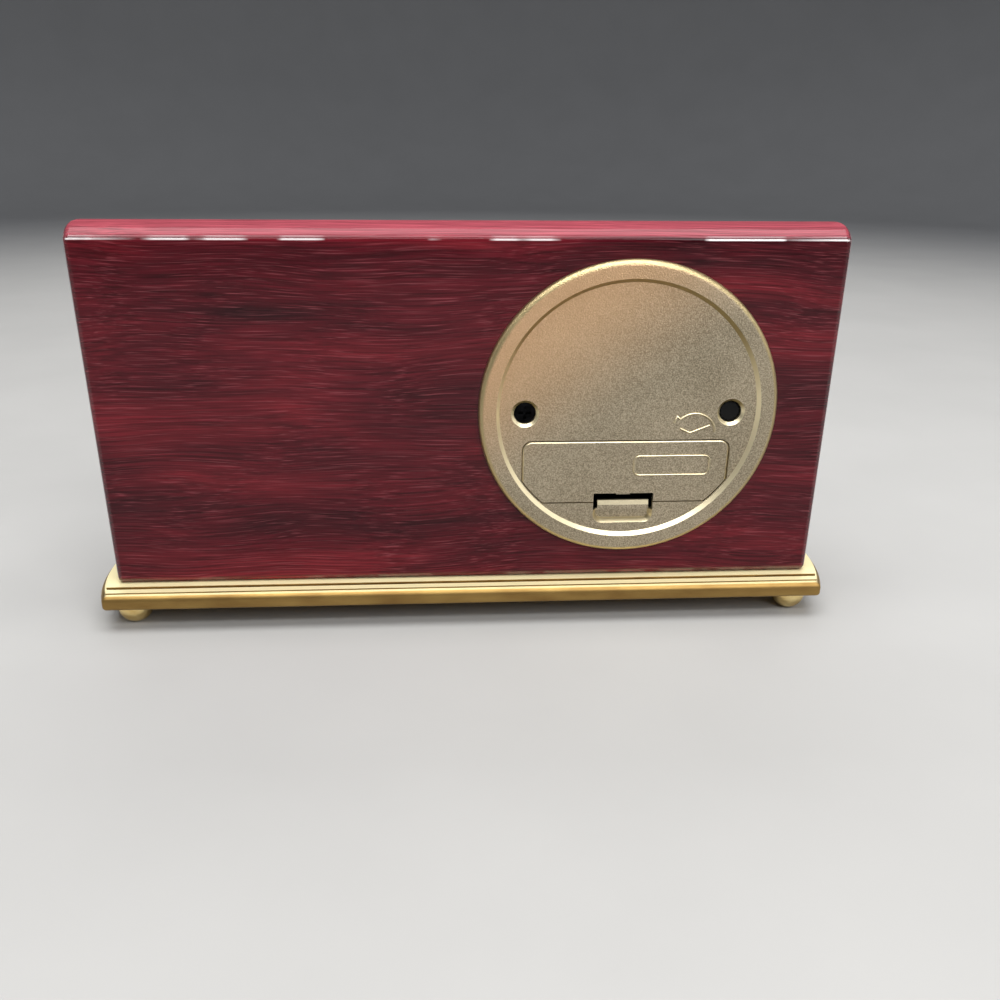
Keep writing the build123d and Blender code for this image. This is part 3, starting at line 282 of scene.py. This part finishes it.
# Finishes of the smaller pieces: a mottle of two close tones, a grain and a spread of roughness
plainLooks = {
    # dull black with a fine even grain, deep enough to look like a hole from outside
    "abs_moulded_black": {
        "nodes": ["movement_case", "setting_knob", "coil_bobbin"], "tones": ("#040404", "#0a0a0b"), "metal": 0.0,
        "patchMm": (6, 6, 6), "grainMm": (0.35, 0.35, 0.35), "reliefMm": 0.02, "roughness": (0.45, 0.65),
        "specular": 0.2},
    # satin grey with a fine even grain
    "abs_moulded_grey": {
        "nodes": ["train_bridge"], "tones": ("#7d8084", "#94979a"), "metal": 0.0,
        "patchMm": (8, 8, 8), "grainMm": (0.35, 0.35, 0.35), "reliefMm": 0.02, "roughness": (0.42, 0.58)},
    # creamy and a little waxy
    "acetal_moulded_natural": {
        "nodes": ["rotor_pinion", "intermediate_wheel", "second_wheel", "third_wheel", "centre_wheel",
                  "cannon_pinion", "minute_wheel", "hour_wheel", "first_idler", "second_idler"],
        "tones": ("#e2ddcf", "#f2eee4"), "metal": 0.0,
        "patchMm": (5, 5, 5), "grainMm": (0.5, 0.5, 0.5), "reliefMm": 0.008, "roughness": (0.28, 0.4)},
    # bright bluish grey with turning marks
    "steel_turned_zinc_plated": {
        "nodes": ["base_screws", "bridge_screws"], "tones": ("#b9bec4", "#d4d8dc"), "metal": 1.0,
        "patchMm": (2, 2, 2), "grainMm": (2, 0.15, 0.15), "reliefMm": 0.01, "roughness": (0.22, 0.4)},
    # plain dull grey with short rolling marks
    "iron_punched_annealed": {
        "nodes": ["stator", "coil_core"], "tones": ("#84878b", "#a3a6aa"), "metal": 1.0,
        "patchMm": (4, 4, 4), "grainMm": (0.6, 0.2, 0.2), "reliefMm": 0.01, "roughness": (0.35, 0.55)},
    # warm silver, nearly a mirror
    "spring_strip_nickel_plated": {
        "nodes": ["positive_contact", "negative_contact", "quartz_crystal"], "tones": ("#c9c5bb", "#e0ddd4"),
        "metal": 1.0, "patchMm": (3, 3, 3), "grainMm": (0.2, 2, 0.2), "reliefMm": 0.006, "roughness": (0.14, 0.28)},
    # near black with an oily sheen
    "steel_blackened_oiled": {
        "nodes": ["cap_screw"], "tones": ("#0c0c0d", "#18181a"), "metal": 1.0,
        "patchMm": (2, 2, 2), "grainMm": (0.25, 0.25, 0.25), "reliefMm": 0.01, "roughness": (0.3, 0.48)},
    # soft gold with fine turning lines
    "aluminium_spun_gold_anodised": {
        "nodes": ["dial_ring"], "tones": ("#c9a75c", "#dcc07c"), "metal": 1.0,
        "patchMm": (10, 10, 10), "grainMm": (0.3, 3, 0.3), "reliefMm": 0.006, "roughness": (0.24, 0.36)},
    # glossy black that has flowed smooth
    "brass_stamped_black_enamel": {
        "nodes": ["hour_hand", "minute_hand"], "tones": ("#0b0b0c", "#161617"), "metal": 0.0,
        "patchMm": (4, 4, 4), "grainMm": (1.2, 1.2, 1.2), "reliefMm": 0.004, "roughness": (0.12, 0.22)},
    # bright yellow metal with lines along the hand
    "brass_stamped_gilt": {
        "nodes": ["second_hand"], "tones": ("#d2ab52", "#e6c777"), "metal": 1.0,
        "patchMm": (3, 3, 3), "grainMm": (0.2, 0.2, 3), "reliefMm": 0.004, "roughness": (0.16, 0.26)},
    # dark grey and slightly rough
    "ferrite_sintered": {
        "nodes": ["rotor_magnet"], "tones": ("#2a2b2e", "#3b3c40"), "metal": 0.0,
        "patchMm": (1.5, 1.5, 1.5), "grainMm": (0.2, 0.2, 0.2), "reliefMm": 0.02, "roughness": (0.5, 0.68)},
    # glossy black drop with a soft uneven skin
    "epoxy_dropped_black": {
        "nodes": ["control_chip"], "tones": ("#0e0f10", "#19191b"), "metal": 0.0,
        "patchMm": (2, 2, 2), "grainMm": (1.0, 1.0, 1.0), "reliefMm": 0.02, "roughness": (0.14, 0.26)},
    # half-gloss green, blotched where copper lies under it
    "fibreglass_board_green_resist": {
        "nodes": ["circuit_board"], "tones": ("#0f4a2c", "#1c6a41"), "metal": 0.0,
        "patchMm": (1.6, 1.6, 1.6), "grainMm": (0.4, 0.4, 0.4), "reliefMm": 0.01, "roughness": (0.25, 0.4)},
    # red-brown wire, turn beside turn
    "copper_wire_enamelled": {
        "nodes": ["coil_winding"], "tones": ("#8a3f1c", "#c4713a"), "metal": 1.0,
        "patchMm": (0.3, 6, 6), "grainMm": (0.16, 8, 8), "reliefMm": 0.05, "roughness": (0.25, 0.4)},
    # matt warm white with the card's tooth
    "card_printed_ivory": {
        "nodes": ["dial"], "tones": ("#efe7d2", "#f6f0e0"), "metal": 0.0,
        "patchMm": (9, 9, 9), "grainMm": (0.3, 0.3, 0.3), "reliefMm": 0.006, "roughness": (0.45, 0.6)},
    # soft black, a little shinier than the card
    "ink_printed_black": {
        "nodes": [], "tones": ("#101010", "#1c1b1a"), "metal": 0.0,
        "patchMm": (2, 2, 2), "grainMm": (0.2, 0.2, 0.2), "reliefMm": 0.004, "roughness": (0.35, 0.5)},
    # blue printed film with a trace of the metal under it
    "steel_can_printed_sleeve": {
        "nodes": ["battery_cell"], "tones": ("#3a5f8f", "#4a72a6"), "metal": 0.4,
        "patchMm": (30, 6, 6), "grainMm": (0.5, 0.5, 0.5), "reliefMm": 0.004, "roughness": (0.2, 0.32)},
}
plainTonesAt = (0.34, 0.66)
usualSpecular = 0.5
finishes = {}
for name, look in plainLooks.items():
    finishes[name], tree, shader, place = newMaterial(name)
    patches = noise(tree, place, look["patchMm"], 3.0)[0]
    grain = noise(tree, place, look["grainMm"], 2.0)[0]
    tint = tones(tree, patches, zip(plainTonesAt, look["tones"]))
    sheen = between(tree, grain, 0.0, 1.0, *look["roughness"])
    relief = addNode(tree, "Bump", {"Height": grain, "Strength": 1.0, "Distance": look["reliefMm"] * mm}).outputs[0]
    setShader(tree, shader, {"Base Color": tint, "Roughness": sheen, "Normal": relief},
              {"Metallic": look["metal"], "Specular IOR Level": look.get("specular", usualSpecular)})
    dress(look["nodes"], finishes[name])
print("finishes made:", len(bpy.data.materials))


def choose(pieces):
    bpy.ops.object.select_all(action="DESELECT")
    for piece in pieces:
        piece.select_set(True)
    bpy.context.view_layer.objects.active = pieces[0]


def startPiece(kind, name, **settings):
    bpy.ops.object.select_all(action="DESELECT")
    getattr(bpy.ops.mesh, "primitive_" + kind + "_add")(**settings)
    piece = bpy.context.object
    piece.name = name
    bpy.ops.object.mode_set(mode="EDIT")
    bpy.ops.mesh.select_all(action="SELECT")
    return piece


def joinPieces(pieces):
    choose(pieces)
    if len(pieces) > 1:
        bpy.ops.object.join()
    bpy.ops.object.transform_apply(location=True, rotation=True, scale=True)
    return bpy.context.object


def endPiece(pieces, name, body, material):
    # joins the pieces into one, with its place in its mesh, and hands it to the body it rides on
    joined = joinPieces(pieces)
    bpy.ops.object.mode_set(mode="EDIT")
    bpy.ops.mesh.select_all(action="SELECT")
    bpy.ops.mesh.normals_make_consistent(inside=False)
    bpy.ops.object.mode_set(mode="OBJECT")
    joined.name = joined.data.name = name
    joined.data.materials.clear()
    joined.data.materials.append(material)
    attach(joined, body)


def extrude(value):
    bpy.ops.mesh.extrude_region_move(TRANSFORM_OT_translate={"value": value})


# Raised lines on the cap and the door are round and smooth
lineLook = {"roundness": 2, "smoothDegrees": 50}


def roundLine(radiusMm):
    # the edges that are being drawn become a round raised line
    bpy.ops.object.mode_set(mode="OBJECT")
    bpy.ops.object.convert(target="CURVE")
    line = bpy.context.object
    line.data.bevel_depth = radiusMm * mm
    line.data.bevel_resolution = lineLook["roundness"]
    line.data.use_fill_caps = True
    bpy.ops.object.convert(target="MESH")
    bpy.ops.object.shade_smooth_by_angle(angle=math.radians(lineLook["smoothDegrees"]))
    return bpy.context.object


def onCap(right, up, proud):
    # a place on the cap's floor, in millimetres right of and above its middle, seen from behind
    return Vector((clockX - right * mm, capFloor + proud * mm, clockZ + up * mm))


# Sign beside the setting knob: a bent arrow over two clock hands, moulded as raised lines
signLook = {
    "lineMm": 0.3, "proudMm": 0.02, "middle": (18.66, -6.15), "arcStart": (24.5, -5.6), "sweep": -131, "steps": 28,
    "barbs": [(12.89, -2.95), (13.54, -1.0), (14.6, -1.95)],
    "hands": [(14.65, -4.53), (17.45, -5.84), (22.87, -3.72)],
}
signLines = []
for name in ("barbs", "hands"):
    spots = [onCap(right, up, signLook["proudMm"]) for right, up in signLook[name]]
    startPiece("plane", "signLine", size=mm, location=spots[0])
    bpy.ops.mesh.merge(type="CENTER")
    for here, there in zip(spots, spots[1:]):
        bpy.ops.mesh.extrude_vertices_move(TRANSFORM_OT_translate={"value": there - here})
    signLines.append(roundLine(signLook["lineMm"]))
startPiece("plane", "signLine", size=mm, location=onCap(*signLook["arcStart"], signLook["proudMm"]))
bpy.ops.mesh.merge(type="CENTER")
bpy.ops.mesh.spin(steps=signLook["steps"], angle=math.radians(signLook["sweep"]), axis=(0, 1, 0),
                  center=onCap(*signLook["middle"], signLook["proudMm"]))
signLines.append(roundLine(signLook["lineMm"]))
endPiece(signLines, "settingSign", "clock_body", plated["rear_cap"])

# Bare label place on the battery door: a rounded frame moulded as a raised line
frameLook = {"lineMm": 0.26, "proudMm": 0.02, "middle": (13.1, -15.35), "sizeMm": (21.4, 5.65), "cornerMm": 1.6,
             "cornerSteps": 6}
startPiece("plane", "labelFrame", size=1, location=onCap(*frameLook["middle"], frameLook["proudMm"]),
           rotation=upright)
bpy.ops.transform.resize(value=(frameLook["sizeMm"][0] * mm, 1, frameLook["sizeMm"][1] * mm))
bpy.ops.mesh.bevel(offset=frameLook["cornerMm"] * mm, segments=frameLook["cornerSteps"], affect="VERTICES")
bpy.ops.mesh.delete(type="ONLY_FACE")
endPiece([roundLine(frameLook["lineMm"])], "labelFrame", "door", plated["battery_door"])
print("cap marks made")

# Roman numerals of the dial, printed: heavy and light strokes with thin serifs, feet to the centre
numeralLook = {
    "heightMm": 6.0, "heavyMm": 0.85, "lightMm": 0.3, "serifMm": 0.24, "overhangMm": 0.42, "spreadMm": 3.0,
    "gapMm": 0.62, "feetMm": 23.2, "riseMm": {"heavy": 0.06, "light": 0.05, "serif": 0.04},
    "hours": ["I", "II", "III", "IIII", "V", "VI", "VII", "VIII", "IX", "X", "XI", "XII"],
}
degreesPerHour = 30


def printStroke(kind, foot, head, width, low, high):
    # an upright plane whose top edge is moved over to the head, then given the print's thickness
    stroke = startPiece("plane", "stroke", size=1, rotation=upright)
    bpy.ops.transform.resize(value=(width * mm, 1, (high - low) * mm))
    bpy.ops.transform.translate(value=(foot * mm, 0, (low + high) / 2 * mm))
    bpy.ops.object.mode_set(mode="OBJECT")
    for part in (*stroke.data.edges, *stroke.data.polygons):
        part.select = False
    for vertex in stroke.data.vertices:
        vertex.select = vertex.co.y > (low + high) / 2 * mm
    bpy.ops.object.mode_set(mode="EDIT")
    bpy.ops.mesh.select_mode(type="VERT")
    bpy.ops.transform.translate(value=((head - foot) * mm, 0, 0))
    bpy.ops.mesh.select_all(action="SELECT")
    extrude((0, -numeralLook["riseMm"][kind] * mm, 0))
    bpy.ops.object.mode_set(mode="OBJECT")
    return stroke


def printLetter(name):
    # strokes as (kind, foot, head), each with serifs, but a V has none at its foot
    reach = numeralLook["spreadMm"] / 2
    strokes = {"I": [("heavy", 0, 0)], "V": [("heavy", 0, -reach), ("light", 0, reach)],
               "X": [("heavy", reach, -reach), ("light", -reach, reach)]}[name]
    tall, serif = numeralLook["heightMm"], numeralLook["serifMm"]
    made = []
    for kind, foot, head in strokes:
        width = numeralLook[kind + "Mm"]
        made.append(printStroke(kind, foot, head, width, 0, tall))
        serifWidth = width + 2 * numeralLook["overhangMm"]
        if name != "V":
            made.append(printStroke("serif", foot, foot, serifWidth, 0, serif))
        made.append(printStroke("serif", head, head, serifWidth, tall - serif, tall))
    return joinPieces(made)


letters = {name: printLetter(name) for name in "IVX"}
wideLetter = numeralLook["spreadMm"] + numeralLook["heavyMm"]
letterWidth = {"I": numeralLook["heavyMm"], "V": wideLetter, "X": wideLetter}
numerals = []
for hour, text in enumerate(numeralLook["hours"], 1):
    wide = sum(letterWidth[letter] for letter in text) + numeralLook["gapMm"] * (len(text) - 1)
    turn = math.radians(degreesPerHour * hour)
    out = numeralLook["feetMm"] * mm
    pen = -wide / 2
    for letter in text:
        choose([letters[letter]])
        bpy.ops.object.duplicate(linked=False)
        copy = bpy.context.object
        along = (pen + letterWidth[letter] / 2) * mm
        copy.rotation_euler = (0, turn, 0)
        copy.location = (clockX + along * math.cos(turn) + out * math.sin(turn), dialFace,
                         clockZ - along * math.sin(turn) + out * math.cos(turn))
        numerals.append(copy)
        pen += letterWidth[letter] + numeralLook["gapMm"]
for letter in letters.values():
    bpy.data.objects.remove(letter)
endPiece(numerals, "dialNumerals", "clock_body", finishes["ink_printed_black"])

# Minute track of the dial, printed: two fine circles and sixty marks, each fifth one broader
trackLook = {
    "ringsMm": (30.2, 32.6), "ringLineMm": 0.16, "ringRiseMm": 0.05, "ringSteps": 120, "mergeMm": 0.002,
    "marks": [{"count": 60, "wideMm": 0.2, "riseMm": 0.04}, {"count": 12, "wideMm": 0.7, "riseMm": 0.045}],
}
middle = Vector((clockX, dialFace, clockZ))
track = []
for radius in trackLook["ringsMm"]:
    ring = startPiece("circle", "trackRing", vertices=trackLook["ringSteps"], radius=radius * mm, location=middle,
                      rotation=upright)
    bpy.ops.mesh.extrude_edges_move()
    inner = 1 - trackLook["ringLineMm"] / radius
    bpy.ops.transform.resize(value=(inner, inner, inner), center_override=middle)
    bpy.ops.mesh.select_all(action="SELECT")
    extrude((0, -trackLook["ringRiseMm"] * mm, 0))
    bpy.ops.object.mode_set(mode="OBJECT")
    track.append(ring)
innerRing, outerRing = trackLook["ringsMm"]
firstMark = middle + Vector((0, 0, (innerRing + outerRing) / 2 * mm))
for marks in trackLook["marks"]:
    mark = startPiece("plane", "trackMark", size=1, location=firstMark, rotation=upright)
    bpy.ops.transform.resize(value=(marks["wideMm"] * mm, 1, (outerRing - innerRing) * mm))
    extrude((0, -marks["riseMm"] * mm, 0))
    bpy.ops.mesh.select_all(action="SELECT")
    bpy.ops.mesh.spin(steps=marks["count"], dupli=True, angle=math.radians(360), center=middle, axis=(0, 1, 0))
    bpy.ops.mesh.select_all(action="SELECT")
    bpy.ops.mesh.remove_doubles(threshold=trackLook["mergeMm"] * mm)
    bpy.ops.object.mode_set(mode="OBJECT")
    track.append(mark)
endPiece(track, "minuteTrack", "clock_body", finishes["ink_printed_black"])
print("dial printed")

# Studio: a round pale floor that sweeps up into a darker wall
studio = {
    "radius": 1.7, "sides": 96, "wall": 1.05, "sweep": 0.35, "sweepSteps": 10, "smoothDegrees": 40,
    "near": "#aaa9a7", "far": "#7c7d7f", "fadeM": (0.55, 1.35),
    "mottleMm": (60, 60, 60), "mottle": [(0.3, "#fafafa"), (0.7, "#ffffff")], "roughness": 0.9, "specular": 0.1,
}
floor = startPiece("circle", "studioFloor", vertices=studio["sides"], radius=studio["radius"], fill_type="NGON")
extrude((0, 0, studio["wall"]))
bpy.ops.mesh.delete(type="ONLY_FACE")
bpy.ops.object.mode_set(mode="OBJECT")
for edge in floor.data.edges:
    edge.select = all(floor.data.vertices[v].co.z < studio["wall"] / 2 for v in edge.vertices)
bpy.ops.object.mode_set(mode="EDIT")
bpy.ops.mesh.select_mode(type="EDGE")
bpy.ops.mesh.bevel(offset=studio["sweep"], segments=studio["sweepSteps"], affect="EDGES")
bpy.ops.mesh.select_all(action="SELECT")
bpy.ops.mesh.normals_make_consistent(inside=True)
bpy.ops.object.mode_set(mode="OBJECT")
bpy.ops.object.shade_smooth_by_angle(angle=math.radians(studio["smoothDegrees"]))

# Studio paper, matt: a plain pale surface with a trace of mottle, graded darker towards the wall
studioPaper, tree, shader, place = newMaterial("paper_matt_graded")
away = addNode(tree, "VectorMath", {0: place}, operation="LENGTH").outputs["Value"]
grade = between(tree, away, *studio["fadeM"], interpolation_type="SMOOTHSTEP")
paper = blend(tree, grade, linear(studio["near"]), linear(studio["far"]))
speck = tones(tree, noise(tree, place, studio["mottleMm"], 4.0)[0], studio["mottle"])
setShader(tree, shader, {"Base Color": blend(tree, 1.0, paper, speck, blend_type="MULTIPLY")},
          {"Roughness": studio["roughness"], "Specular IOR Level": studio["specular"]})
floor.data.materials.append(studioPaper)

# Soft lamps, each aimed at the block: place and size in metres
lampAim = Vector((0, 0, 0.05))
lamps = {
    "overhead": {"place": (0.0, 0.12, 0.9), "size": (1.0, 0.5), "watts": 9.2},
    "overheadStrip": {"place": (0.0, 0.62, 0.78), "size": (1.0, 0.12), "watts": 3.6},
    "backSide": {"place": (-0.55, 0.85, 0.7), "size": (0.5, 0.5), "watts": 5.0},
    "dialSide": {"place": (0.0, -0.75, 0.95), "size": (1.4, 0.4), "watts": 6.0},
    "leftStrip": {"place": (1.0, 0.1, 0.45), "size": (0.25, 0.8), "watts": 0.8},
    "rightStrip": {"place": (-1.0, 0.1, 0.45), "size": (0.25, 0.8), "watts": 1.8},
}
for name, lamp in lamps.items():
    bpy.ops.object.light_add(type="AREA", location=lamp["place"])
    light = bpy.context.object
    light.name = name
    light.data.shape = "RECTANGLE"
    light.data.size, light.data.size_y = lamp["size"]
    light.data.energy = lamp["watts"]
    light.rotation_euler = (lampAim - light.location).to_track_quat("-Z", "Y").to_euler()

air = {"tone": "#f2f4f7", "strength": 0.31}
world = bpy.data.worlds.new("studioAir")
bpy.context.scene.world = world
world.use_nodes = True
background = world.node_tree.nodes["Background"]
background.inputs["Color"].default_value = linear(air["tone"])
background.inputs["Strength"].default_value = air["strength"]

# The photograph's camera, fitted to the block's edges and the cap's round flange
shot = {"place": (0.006774, 0.254328, 0.136066), "turn": (67.721, -0.528, 176.499), "lens": 33.3, "sensor": 36.0,
        "near": 0.01}
bpy.ops.object.camera_add(location=shot["place"], rotation=[math.radians(a) for a in shot["turn"]])
camera = bpy.context.object
camera.data.sensor_width = shot["sensor"]
camera.data.lens = shot["lens"]
camera.data.clip_start = shot["near"]
bpy.context.scene.camera = camera
bpy.context.scene.view_settings.view_transform = "Standard"
print("studio set")
